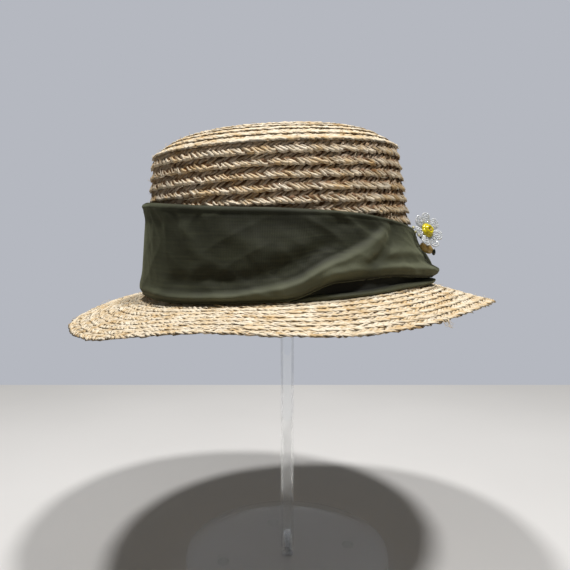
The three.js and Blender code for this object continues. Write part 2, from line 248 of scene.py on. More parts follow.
def cloth_material(colours):
    # Dark olive cotton sateen: a fine close weave with a soft sheen and faint ribs across the band,
    # with painted light from a point attribute: a painted highlight along the raised folds (above 0)
    # and near black painted shade inside the crease (below 0)
    material, tree = new_material(COTTON)
    weave = add_node(tree, "UVMap", uv_map="UVMap").outputs["UV"]
    # UV: 1 unit is 10 mm. The ribs are 1 mm apart and the threads along the band 0.45 mm, about
    # twice as coarse as real, so that they show
    ribs = add_node(tree, "TexWave", {
        "Vector": weave, "Scale": 3.1, "Distortion": 1.2, "Detail": 2.0, "Detail Scale": 2.5},
        wave_type="BANDS", bands_direction="X").outputs["Fac"]
    weft = add_node(tree, "TexWave", {
        "Vector": weave, "Scale": 7.0, "Distortion": 0.8, "Detail": 2.0, "Detail Scale": 3.0},
        wave_type="BANDS", bands_direction="Y").outputs["Fac"]
    threads = add_node(tree, "Math", {0: ribs, 1: weft}, operation="MULTIPLY").outputs["Value"]
    # Clouds of tone are about 24 mm across, and slubs about 29 mm long and 1.7 mm wide
    place = add_node(tree, "TexCoord").outputs["Object"]
    clouds = add_node(tree, "TexNoise", {
        "Vector": place, "Scale": 42.0, "Detail": 4.0, "Roughness": 0.6}).outputs["Fac"]
    stretched = add_node(tree, "Mapping", {"Vector": weave, "Scale": (0.35, 6.0, 1.0)}).outputs["Vector"]
    slubs = add_node(tree, "TexNoise", {
        "Vector": stretched, "Scale": 1.0, "Detail": 2.0}, noise_dimensions="2D").outputs["Fac"]
    mixed = add_node(tree, "Math", {0: threads, 1: 0.12}, operation="MULTIPLY").outputs["Value"]
    for part, share in ((clouds, 0.40), (slubs, 0.30)):
        mixed = add_node(tree, "Math", {
            0: part, 1: share, 2: mixed}, operation="MULTIPLY_ADD").outputs["Value"]
    shade = add_node(tree, "ValToRGB", {"Fac": mixed}, (
        (0.28, "#1E2015"), (0.48, colours.cloth), (0.72, "#4A4F3A"))).outputs["Color"]
    # Painted highlight where the point attribute is above 0, near black painted shade below 0
    painted_light = add_node(tree, "Attribute", attribute_name="painted_light").outputs["Fac"]
    hollow = add_node(tree, "Math", {0: painted_light, 1: -1.0}, operation="MULTIPLY").outputs["Value"]
    for factor, colour in ((painted_light, "#6C705B"), (hollow, "#0A0B07")):
        shade = add_node(tree, "Mix", {
            "Factor": factor, "A": shade, "B": linear(colour)}, data_type="RGBA").outputs["Result"]
    bump = add_node(tree, "Bump", {"Height": threads, "Strength": 0.35, "Distance": 0.0002})
    soft = add_node(tree, "Bump", {
        "Height": clouds, "Strength": 0.25, "Distance": 0.0015, "Normal": bump.outputs["Normal"]})
    shader = add_node(tree, "BsdfPrincipled", {
        "Base Color": shade, "Roughness": 0.72, "Specular IOR Level": 0.3, "Sheen Weight": 0.5,
        "Sheen Roughness": 0.45, "Sheen Tint": linear("#9AA083"), "Normal": soft.outputs["Normal"]})
    add_node(tree, "OutputMaterial", {"Surface": shader.outputs["BSDF"]})
    return material


def acrylic_material():
    # Cast acrylic, flame polished: clear and glossy, with a trace of fine dust in 6 mm patches that
    # shows as haze. The low alpha stands for the light that goes straight through it, so that the
    # floor under it stays bright
    material, tree = new_material("clear_cast_acrylic")
    place = add_node(tree, "TexCoord").outputs["Object"]
    dust = add_node(tree, "TexNoise", {"Vector": place, "Scale": 160.0, "Detail": 3.0})
    haze = add_node(tree, "MapRange", {
        "Value": dust.outputs["Fac"], "From Min": 0.45, "From Max": 0.8, "To Min": 0.01, "To Max": 0.05})
    shader = add_node(tree, "BsdfPrincipled", {
        "Base Color": linear("#F4F8F8"), "Roughness": haze.outputs["Result"], "IOR": 1.49,
        "Transmission Weight": 1.0, "Alpha": 0.26})
    add_node(tree, "OutputMaterial", {"Surface": shader.outputs["BSDF"]})
    return material


def steel_material():
    # Stainless steel, machine turned: rings of tool marks 0.35 mm apart on a bright face
    material, tree = new_material("turned_stainless_steel")
    place = add_node(tree, "TexCoord").outputs["Object"]
    centred = add_node(tree, "Mapping", {"Vector": place, "Location": (-ROD_X * MM, 0.0, 0.0)})
    rings = add_node(tree, "TexWave", {
        "Vector": centred.outputs["Vector"], "Scale": 900.0, "Distortion": 0.4},
        wave_type="RINGS", rings_direction="Z").outputs["Fac"]
    rough = add_node(tree, "MapRange", {"Value": rings, "To Min": 0.18, "To Max": 0.34})
    bump = add_node(tree, "Bump", {"Height": rings, "Strength": 0.2, "Distance": 0.0001})
    shader = add_node(tree, "BsdfPrincipled", {
        "Base Color": linear("#C9CACC"), "Metallic": 1.0, "Roughness": rough.outputs["Result"],
        "Normal": bump.outputs["Normal"]})
    add_node(tree, "OutputMaterial", {"Surface": shader.outputs["BSDF"]})
    return material


def glass_material(name, low, high, roughness, transmission, clouds):
    # Pressed glass: small differences in tone from bead to bead and a glossy skin. clouds is how
    # many clouds of tone lie along one metre, so that 500 are 2 mm across
    material, tree = new_material(name)
    tone = add_node(tree, "Attribute", attribute_name="tone").outputs["Fac"]
    place = add_node(tree, "TexCoord").outputs["Object"]
    cloud = add_node(tree, "TexNoise", {"Vector": place, "Scale": clouds, "Detail": 2.0}).outputs["Fac"]
    half = add_node(tree, "Math", {0: tone, 1: 0.5}, operation="MULTIPLY").outputs["Value"]
    mixed = add_node(tree, "Math", {0: cloud, 1: 0.5, 2: half}, operation="MULTIPLY_ADD").outputs["Value"]
    shade = add_node(tree, "ValToRGB", {"Fac": mixed}, ((0.25, low), (0.75, high)))
    shader = add_node(tree, "BsdfPrincipled", {
        "Base Color": shade.outputs["Color"], "Roughness": roughness, "IOR": 1.52,
        "Transmission Weight": transmission, "Coat Weight": 0.3, "Coat Roughness": 0.05})
    add_node(tree, "OutputMaterial", {"Surface": shader.outputs["BSDF"]})
    return material


def stage_material(name, low, high):
    # Matt painted board: nearly even, with faint soft clouding 330 mm across
    material, tree = new_material(name)
    place = add_node(tree, "TexCoord").outputs["Object"]
    cloud = add_node(tree, "TexNoise", {"Vector": place, "Scale": 3.0, "Detail": 3.0})
    shade = add_node(tree, "ValToRGB", {"Fac": cloud.outputs["Fac"]}, ((0.3, low), (0.7, high)))
    shader = add_node(tree, "BsdfPrincipled", {"Base Color": shade.outputs["Color"], "Roughness": 0.8})
    add_node(tree, "OutputMaterial", {"Surface": shader.outputs["BSDF"]})
    return material


def around(table, degrees):
    """Smooth values from a table of equally spaced directions."""
    values = np.asarray(table, float)
    n = len(values)
    at = (np.asarray(degrees, float) / 360 % 1) * n
    i = np.floor(at).astype(int)
    u = at - i
    before, here, after, beyond = (values[(i + k) % n] for k in (-1, 0, 1, 2))
    return 0.5 * (2 * here + (after - before) * u + (2 * before - 5 * here + 4 * after - beyond) * u ** 2
                  + (3 * here - before - 3 * after + beyond) * u ** 3)


def smooth(low, high, value):
    """0 at low and 1 at high, with soft ends."""
    t = np.clip((np.asarray(value, float) - low) / (high - low), 0, 1)
    return t * t * (3 - 2 * t)


def turned(a, b, angle):
    """Two coordinates turned by an angle, from the first axis towards the second."""
    cosine, sine = math.cos(angle), math.sin(angle)
    return a * cosine - b * sine, a * sine + b * cosine


def hat_place(points):
    """Points of the hat's own frame in millimetres, leaned and set on the rod, in metres."""
    x, y, z = np.asarray(points, float).T
    y, z = turned(y, z, LEAN_FRONT)
    x, z = turned(x, z, LEAN_LEFT)
    return np.stack([x + HAT_X, y, z + HAT_Z], 1) * MM


def on_wall(degrees, out, z):
    """Points beside the crown wall."""
    angle = np.radians(degrees)
    o = out - TAPER * z
    return np.stack([(CROWN_A + o) * np.cos(angle), (CROWN_B + o) * np.sin(angle), z + 0 * angle], -1)


DOME_INSET = np.linspace(0, 71, 285)
DOME_SLOPE = DOME / DOME_EASE * np.exp(-DOME_INSET / DOME_EASE)
DOME_WAY = np.concatenate([[0], np.cumsum(np.hypot(1, (DOME_SLOPE[1:] + DOME_SLOPE[:-1]) / 2)
                                          * np.diff(DOME_INSET))])


def on_crown(degrees, rise, lift):
    """Points on the crown: rise is the way up the wall and then in over the domed top."""
    angle = np.radians(degrees)
    rise = rise + 0 * angle
    inset = np.interp(rise - WALL_HEIGHT, DOME_WAY, DOME_INSET)
    dome_turn = np.arctan(DOME / DOME_EASE * np.exp(-inset / DOME_EASE))
    over = smooth(-1.0, 1.6, rise - WALL_HEIGHT)
    turn = math.atan(1 / TAPER) * (1 - over) + dome_turn * over
    low = np.minimum(rise, WALL_HEIGHT)
    out = -TAPER * low - inset + lift * np.sin(turn)
    height = low + DOME * (1 - np.exp(-inset / DOME_EASE)) + lift * np.cos(turn)
    height = height + join_height(degrees) * smooth(30, 0, low)
    a = np.maximum(CROWN_A + out, 0.5)
    b = np.maximum(CROWN_B + out, 0.5)
    return np.stack([a * np.cos(angle), b * np.sin(angle), height], -1)


def join_height(degrees):
    """Height at which the brim joins the crown."""
    return around(BRIM_JOIN, degrees)


def on_brim(degrees, share, lift):
    """Points on the brim: share is the way out from the crown to the edge."""
    angle = np.radians(degrees)
    width = around(BRIM_WIDTH, degrees)
    fall = around(BRIM_DROP, degrees)
    s = np.maximum(share, 0)
    e = 2 + (BRIM_OUTLINE - 2) * s
    c, n = np.cos(angle), np.sin(angle)
    k = (np.abs(c) ** e + np.abs(n) ** e) ** (-1 / e)
    slope = fall / width
    tilt = 1 / np.sqrt(1 + slope ** 2)
    out = width * share + lift * slope * tilt
    height = join_height(degrees) - fall * s ** BRIM_POWER + lift * tilt
    return np.stack([(CROWN_A + out) * c * k, (CROWN_B + out) * n * k, height], -1)


def unit(vectors):
    """The same directions with a length of 1."""
    return vectors / np.maximum(np.linalg.norm(vectors, axis=-1, keepdims=True), 1e-9)


def wander(random, share, waves, size):
    """Soft random waver that closes on itself."""
    total = np.zeros_like(share)
    for _ in range(4):
        total += np.sin(TAU * (random.integers(1, waves) * share + random.random())) * random.uniform(0.4, 1)
    return total * size / 2


TUBES = {}


def mesh_from(bm, name):
    """Turns a bmesh into a smooth mesh and frees it."""
    mesh = bpy.data.meshes.new(name)
    bm.to_mesh(mesh)
    bm.free()
    mesh.shade_smooth()
    return mesh


def tube_template(rings, sides):
    """A closed tube spun from a small circle, with the ring and side of each of its points."""
    if (rings, sides) not in TUBES:
        reach = 9
        bm = bmesh.new()
        place = Matrix.Translation((reach, 0, 0)) @ Matrix.Rotation(math.pi / 2, 4, "X")
        bmesh.ops.create_circle(bm, segments=sides, radius=1, matrix=place)
        bmesh.ops.spin(bm, geom=bm.verts[:] + bm.edges[:], cent=(0, 0, 0), axis=(0, 0, 1), angle=TAU,
                       steps=rings, use_merge=True)
        bmesh.ops.remove_doubles(bm, verts=bm.verts, dist=1e-4)
        bmesh.ops.recalc_face_normals(bm, faces=bm.faces)
        mesh = mesh_from(bm, "tube_template")
        x, y, z = np.array([v.co for v in mesh.vertices]).T
        ring = np.rint(np.arctan2(y, x) / TAU * rings).astype(int) % rings
        side = np.rint(np.arctan2(z, np.hypot(x, y) - reach) / TAU * sides).astype(int) % sides
        TUBES[rings, sides] = mesh, ring, side
    return TUBES[rings, sides]


class Strands:
    """Collects closed strands into one mesh with a tone, a painted shade and a strand UV."""

    def __init__(self):
        self.bm = bmesh.new()
        self.parts = []

    def add(self, sections, lengths, tone, painted_shade, shift=0.0):
        """sections is an array of rings of points; lengths is the way along it in millimetres."""
        n, m, _ = sections.shape
        mesh, ring, side = tube_template(n, m)
        self.bm.from_mesh(mesh)
        step = lengths[1] - lengths[0]
        self.parts.append((
            sections[ring, side], ring, side, np.full(len(ring), n), np.full(len(ring), m),
            np.full(len(ring), step), np.full(len(ring), shift), (tone + np.zeros(n))[ring],
            (painted_shade + np.zeros(n))[ring]))

    def finish(self, name, material, slot, node):
        """Makes the piece: the tubes' points go to their places."""
        points, ring, side, n, m, step, shift, tone, painted_shade = (
            np.concatenate(part) for part in zip(*self.parts))
        mesh = mesh_from(self.bm, name)
        mesh.vertices.foreach_set("co", hat_place(points).ravel())
        corners = np.empty(len(mesh.loops), int)
        mesh.loops.foreach_get("vertex_index", corners)
        corners = corners.reshape(-1, 4)
        turns = []
        for index, count in ((ring, n), (side, m)):
            at = index[corners]
            wraps = (at.max(1) - at.min(1) > 1)[:, None] & (at == 0)
            turns.append(at + wraps * count[corners])
        uv = np.stack([turns[0] * step[corners] / 10, turns[1] / m[corners] + shift[corners]], -1)
        mesh.uv_layers.new(name="UVMap").data.foreach_set("uv", uv.ravel())
        mesh.attributes.new("tone", "FLOAT", "POINT").data.foreach_set("value", tone)
        mesh.attributes.new("painted_shade", "FLOAT", "POINT").data.foreach_set("value", painted_shade)
        mesh.update(calc_edges=True)
        finish_piece(mesh, material, slot, node)


def finish_piece(mesh, material, slot, *nodes):
    """Makes a mesh into a piece of the same name, with its finish, on the body."""
    piece = bpy.data.objects.new(mesh.name, mesh)
    bpy.context.scene.collection.objects.link(piece)
    mesh.materials.append(material)
    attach(piece, "root")
    if nodes:
        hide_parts(*nodes)
    return piece


PLAIT_STRANDS = 7
PLAIT_STEPS = 13
STRAND_SIDES = np.radians((0, 75, 180, 285))
# How sharply a strand turns back at the plait's edges, where 1 is a corner, and the most painted shade on the
# straw
STRAND_TURN = 0.965
DARKEST = 0.85
LAYER_STEPS = 144


def add_plait_row(strands, place, width, sizes, random, tucked, relief, fullness, drop,
                  steps=PLAIT_STEPS):
    """One closed row of flat seven-strand plait. place takes degrees, across from the upper
    edge to the lower edge in -0.5 to 0.5, and lift; tucked is how much painted shade darkens
    the row and its dark layer, most towards its upper edge, relief scales the rise and fall of
    the strands, fullness scales their width, drop is how far its dark layer goes down to the
    next row and steps is the rings in one period."""
    even = np.linspace(0, 360, 1441)
    line = place(even, 0 * even, 0 * even)
    way = np.concatenate([[0], np.cumsum(np.linalg.norm(np.diff(line, axis=0), axis=1))])
    periods = max(3, round(way[-1] / (sizes.plait_period / MM)))
    n = periods * steps
    share = np.arange(n) / n
    degrees = np.interp(share * way[-1], way, even)
    lengths = share * way[-1]
    strand = min(sizes.strand_width / MM * fullness, width * 0.3)
    shift = random.random()
    # A strand swings from edge to edge, over and under the others, and as straw is uneven it
    # wavers in its path, height, twist, width and thickness
    for k in range(PLAIT_STRANDS):
        theta = TAU * (periods * share + k / PLAIT_STRANDS + shift) + wander(random, share, periods * 2, 0.4)
        swing = np.arcsin(STRAND_TURN * np.sin(theta)) / math.asin(STRAND_TURN)
        across = -(0.5 - 0.5 * strand / width) * swing * (1 + wander(random, share, periods * 4, 0.17))
        wave = np.tanh(1.8 * (np.sin(2 * theta) + 0.55 * np.sin(6 * theta)))
        lift = relief * (sizes.strand_lift / MM * wave + wander(random, share, periods * 5, 0.42))
        points = place(degrees, across, lift)
        up = unit(place(degrees, across, lift + 1) - points)
        forward = unit(np.roll(points, -1, 0) - np.roll(points, 1, 0))
        side = unit(np.cross(up, forward))
        up = np.cross(forward, side)
        twist = wander(random, share, periods * 3, 0.5 * relief)[:, None]
        cosine, sine = np.cos(twist), np.sin(twist)
        side, up = side * cosine + up * sine, up * cosine - side * sine
        half = strand / 2 * (1 + wander(random, share, periods * 5, 0.36))
        thick = sizes.strand_thickness / MM / 2 * (1 + wander(random, share, periods * 4, 0.28))
        sections = (points[:, None] + side[:, None] * (half[:, None] * np.cos(STRAND_SIDES))[..., None]
                    - up[:, None] * (thick[:, None] * np.sin(STRAND_SIDES))[..., None])
        run = np.floor(theta / math.pi).astype(int) % (2 * periods)
        tone = random.random(2 * periods)[run]
        # Painted shade: darker where the strand dips under the others and towards the row's upper edge, which
        # lies under the row above, and a little over the whole row
        painted_shade = 0.36 * relief * smooth(0.3, -1.0, wave) + tucked * (0.16 + smooth(0.32, -0.25, across))
        strands.add(sections, lengths, tone, np.minimum(painted_shade, DARKEST), k * 0.37 + random.random())
    # Thin layer in the middle of the plait, where the strands cross, with a rim to the next row,
    # painted dark as the shade seen through the gaps between the strands
    part = np.arange(LAYER_STEPS) / LAYER_STEPS
    at = part * 360
    upper, lower = -0.5 + 0.5 / width, 0.5 - 1.4 / width
    rim = lower - 0.3 / width
    sections = np.stack([place(at, 0 * at + a, 0 * at + h) for a, h in (
        (lower, -drop), (lower, 0.12), (upper, 0.12), (upper, -0.12), (rim, -0.12), (rim, -drop))], 1)
    strands.add(sections, part * way[-1], 0.4, min(0.35 + tucked, DARKEST))


def lap(across, upper, lower, flare=1.0):
    """Lift that tucks the upper edge of a row under the next row and shows its lower edge."""
    return upper + (lower - upper) * np.clip(across + 0.5, 0, 1.1) ** flare


class BOATER_OT_straw(bpy.types.Operator):
    """Plait the straw crown and brim"""

    bl_idname = "boater.straw"
    bl_label = "Straw"

    def execute(self, context):
        sizes = context.scene.boater_sizes
        material = straw_material(context.scene.boater_colours)
        width = sizes.plait_width / MM
        random = np.random.default_rng(11)

        def crown_row(rise, row_width, upper, lower):
            def place(degrees, across, lift):
                # Rows lie flatter under the band
                bare = smooth(-3, 2, rise - around(BAND_TOP, degrees))
                edge = 0.4 + (lower - 0.4) * bare
                up = rise + row_width * (0.5 - across)
                return on_crown(degrees, up, lap(across, upper, edge, 1.8) + lift)
            return place

        side = Strands()
        for k in range(WALL_ROWS):
            low = max(WALL_HEIGHT - (k + 1) * ROW, LOWEST_ROW)
            behind_band = low < 30
            add_plait_row(side, crown_row(low, width, -1.5, 1.5), width, sizes, random, tucked=0.46,
                          relief=0.78, fullness=1.16, drop=2.1, steps=7 if behind_band else PLAIT_STEPS)
        side.finish("straw_side", material, "straw", "crown_side")

        top = Strands()
        for k in range(TOP_ROWS):
            # The last row is narrower, so that it meets itself at the middle
            row_width = 9.4 if k < TOP_ROWS - 1 else 7.9
            place = crown_row(WALL_HEIGHT - 0.6 + k * TOP_ROW, row_width, -0.6, 1.6 if k == 0 else 0.85)
            add_plait_row(top, place, row_width, sizes, random, tucked=0.02, relief=0.42, fullness=1.34,
                          drop=1.3)
        top.finish("straw_top", material, "straw", "crown_top")

        brim = Strands()
        share = BRIM_ROW_SHARE / BRIM_ROWS
        for k in range(1, BRIM_ROWS + 1):
            edge = k / BRIM_ROWS
            last = k == BRIM_ROWS
            outer = 0.3 if last else 0.52

            def place(degrees, across, lift):
                return on_brim(degrees, edge - share * (0.5 - across), lap(across, -0.5, outer) + lift)
            add_plait_row(brim, place, BRIM_REACH * share, sizes, random, tucked=0.05,
                          relief=0.8 if last else 0.6, fullness=1.3, drop=0.3 if last else 1.05)
        brim.finish("straw_brim", material, "straw", "brim")
        return {"FINISHED"}


TUFT_ENDS = 9
TUFT_DEGREES = (303.6, 306.6)


class BOATER_OT_loose_ends(bpy.types.Operator):
    """Add the thin straw fibres that stick out of the plait"""

    bl_idname = "boater.loose_ends"
    bl_label = "Loose straw ends"

    def execute(self, context):
        sizes = context.scene.boater_sizes
        random = np.random.default_rng(5)
        bm = bmesh.new()
        bmesh.ops.create_cone(bm, cap_ends=True, segments=3, radius1=1, radius2=0.3, depth=1)
        long_edges = [e for e in bm.edges if abs(e.verts[0].co.z - e.verts[1].co.z) > 0.5]
        bmesh.ops.subdivide_edges(bm, edges=long_edges, cuts=5)
        bmesh.ops.recalc_face_normals(bm, faces=bm.faces)
        fibre = mesh_from(bm, "fibre_template")
        x, y, t = np.array([v.co for v in fibre.vertices]).T
        t = t + 0.5

        bm = bmesh.new()
        points, tones = [], []
        for i in range(sizes.loose_ends):
            # Most are 3 to 11 mm long and a few longer, and they lie along the rows, either way
            degrees = random.uniform(0, 360)
            long = random.uniform(3, 11) * (1.6 if random.random() < 0.08 else 1)
            heading = random.normal(0, 0.35) + (math.pi if random.random() < 0.5 else 0)
            rise = random.uniform(0.1, 1.6)
            tuft = i < TUFT_ENDS
            if tuft:
                # A small tuft at the front right of the edge
                degrees, long = random.uniform(*TUFT_DEGREES), random.uniform(3.5, 6.5)
                heading, rise = random.uniform(0.9, 2.0), random.uniform(-4, -1.5)
            if tuft or random.random() < 0.62:
                row = BRIM_ROWS if tuft else math.ceil(random.uniform(0, BRIM_ROWS))
                turn = long / BRIM_RADIUS * math.cos(heading) * RADIAN

                def path(way):
                    out = row / BRIM_ROWS + long * math.sin(heading) * way / BRIM_REACH
                    return on_brim(degrees + turn * way, out, 1.2 + rise * np.sin(way * 2.4))
            else:
                row = int(random.integers(-3, 7))
                turn = long / CROWN_RADIUS * math.cos(heading) * RADIAN

                def path(way):
                    up = WALL_HEIGHT - ROW * row + long * math.sin(heading) * way
                    return on_crown(degrees + turn * way, up, 1.4 + rise * np.sin(way * 2.4))
            middle = path(t)
            forward = unit(path(t + 0.01) - middle)
            side = unit(np.cross(forward, (0.1, 0.2, 1.0)))
            up = np.cross(forward, side)
            half = 0.16 * random.uniform(0.7, 1.2)
            points.append(middle + side * (half * x)[:, None] + up * (half * y)[:, None])
            tones.append(np.full(len(t), random.random()))
            bm.from_mesh(fibre)
        mesh = mesh_from(bm, "straw_loose_ends")
        mesh.vertices.foreach_set("co", hat_place(np.concatenate(points)).ravel())
        mesh.attributes.new("tone", "FLOAT", "POINT").data.foreach_set("value", np.concatenate(tones))
        mesh.update()
        straw = bpy.data.materials.get(STRAW) or straw_material(context.scene.boater_colours)
        finish_piece(mesh, straw, "straw")
        return {"FINISHED"}


def gather(degrees):
    """How far the cloth stands off the wall near the tie."""
    a = degrees % 360
    return np.where(a > 180, smooth(296, 352, a), smooth(62, 8, a))


def band_bottom(degrees):
    """Height of the band's bottom edge."""
    a = degrees % 360
    left = 2.6 * smooth(232, 200, a) * smooth(120, 170, a)
    over_fold = 6.6 * smooth(270, 291, a) - 4.3 * smooth(308, 338, a)
    return join_height(a) + 1.4 + left + over_fold


def band_out(degrees, share):
    """Distance of the band's outer face from the plain wall."""
    # At the left end its top edge flares and its bottom edge rolls; near the tie it stands off
    a = degrees % 360
    leftness = smooth(250, 205, a) * smooth(110, 160, a)
    flare = 2.6 * leftness * smooth(0.78, 0.98, share)
    bottom_roll = 1.2 * leftness * np.exp(-((share - 0.1) / 0.09) ** 2)
    lump = 6.3 * smooth(322, 348, a) * np.exp(-((share - 0.165) / 0.12) ** 2)
    end = 1 - 0.55 * smooth(347, 350, a) * (a < 355)
    pull = gather(a) * (9 * np.maximum(0, 1 - share) ** 1.3 + lump) * end
    near_end = smooth(315, 335, a)
    ends = 1 - 0.55 * smooth(0.965, 1, share) - (0.7 - 0.52 * near_end) * smooth(0.075, 0, share)
    return BAND_CLEAR + (1.9 + flare + bottom_roll + pull) * ends


def fold_height(degrees, share):
    """Sum of the band's soft folds."""
    a = degrees % 360
    total = np.zeros_like(a)
    for points, height, width in FOLDS:
        near = np.full_like(a, 9.0)
        for (a0, s0), (a1, s1) in zip(points[:-1], points[1:]):
            x, y = (a - a0) / BAND_HEIGHT_TURN, share - s0
            dx, dy = (a1 - a0) / BAND_HEIGHT_TURN, s1 - s0
            t = np.clip((x * dx + y * dy) / (dx * dx + dy * dy), 0, 1)
            near = np.minimum(near, np.hypot(x - t * dx, y - t * dy))
        total += FOLD_STRENGTH * height * np.exp(-(near / width) ** 2)
    at, lip_share, lip_height = np.transpose(LIP)
    below = (np.interp(a, at, lip_share) - share) * BAND_HEIGHT
    soft = np.interp(a, (262, 300), (1.0, 2.6))
    step = np.interp(a, at, lip_height, 0, 0) * smooth(-1.6 * soft, 1.8 * soft, below)
    step = step * np.exp(-np.maximum(below, 0) / 16)
    # The cloth is pulled nearly smooth around the left end
    tight = 0.85 * np.exp(-((a - 193) / 13) ** 2)
    return (total + step + crumple(a * 1.6, share * 60)) * (1 - tight)


def crumple(along, up):
    """Small sharp wrinkles, in millimetres, from a few crossed waves with narrow crests."""
    random = np.random.default_rng(3)
    total = np.zeros_like(along)
    for _ in range(9):
        heading, length = random.uniform(-1.2, 1.2), random.uniform(14, 26)
        way = along * math.cos(heading) + up * math.sin(heading)
        bend = (1.6 * np.sin(up / random.uniform(9, 16) + random.uniform(0, TAU))
                * np.sin(along / 23 + heading))
        patch = smooth(0.0, 0.9, np.sin(along / random.uniform(14, 25) + random.uniform(0, TAU))
                       * np.cos(up / random.uniform(12, 22) + random.uniform(0, TAU)) + 0.3)
        total += patch * (1 - np.abs(np.sin(way * math.pi / length + bend / 3))) ** 2
    return 0.38 * total - 0.25


def shaped_grid(name, across, along, place, uv, painted_light=None):
    """A flat grid bent into a closed skin. place and uv take the shares across and along as
    arrays, and so does the last argument, which gives each point's painted light: a painted
    highlight above 0 and painted shade below 0."""
    bm = bmesh.new()
    bmesh.ops.create_grid(bm, x_segments=across, y_segments=along, size=0.5)
    bm.verts.ensure_lookup_table()
    flat = np.array([v.co for v in bm.verts]) + 0.5
    layer = bm.loops.layers.uv.new("UVMap")
    # Each point's painted light: painted highlight above 0, painted shade below 0
    light_layer = bm.verts.layers.float.new("painted_light")
    marks = uv(flat[:, 0], flat[:, 1])
    painted_values = painted_light(flat[:, 0], flat[:, 1]) if painted_light else np.zeros(len(flat))
    for face in bm.faces:
        for loop in face.loops:
            loop[layer].uv = marks[loop.vert.index]
    for vert, point, painted_value in zip(bm.verts, place(flat[:, 0], flat[:, 1]), painted_values):
        vert.co = point
        vert[light_layer] = painted_value
    bmesh.ops.remove_doubles(bm, verts=bm.verts, dist=1e-7)
    open_edges = [e for e in bm.edges if e.is_boundary]
    if open_edges:
        bmesh.ops.holes_fill(bm, edges=open_edges, sides=0)
    bmesh.ops.recalc_face_normals(bm, faces=bm.faces)
    return mesh_from(bm, name)


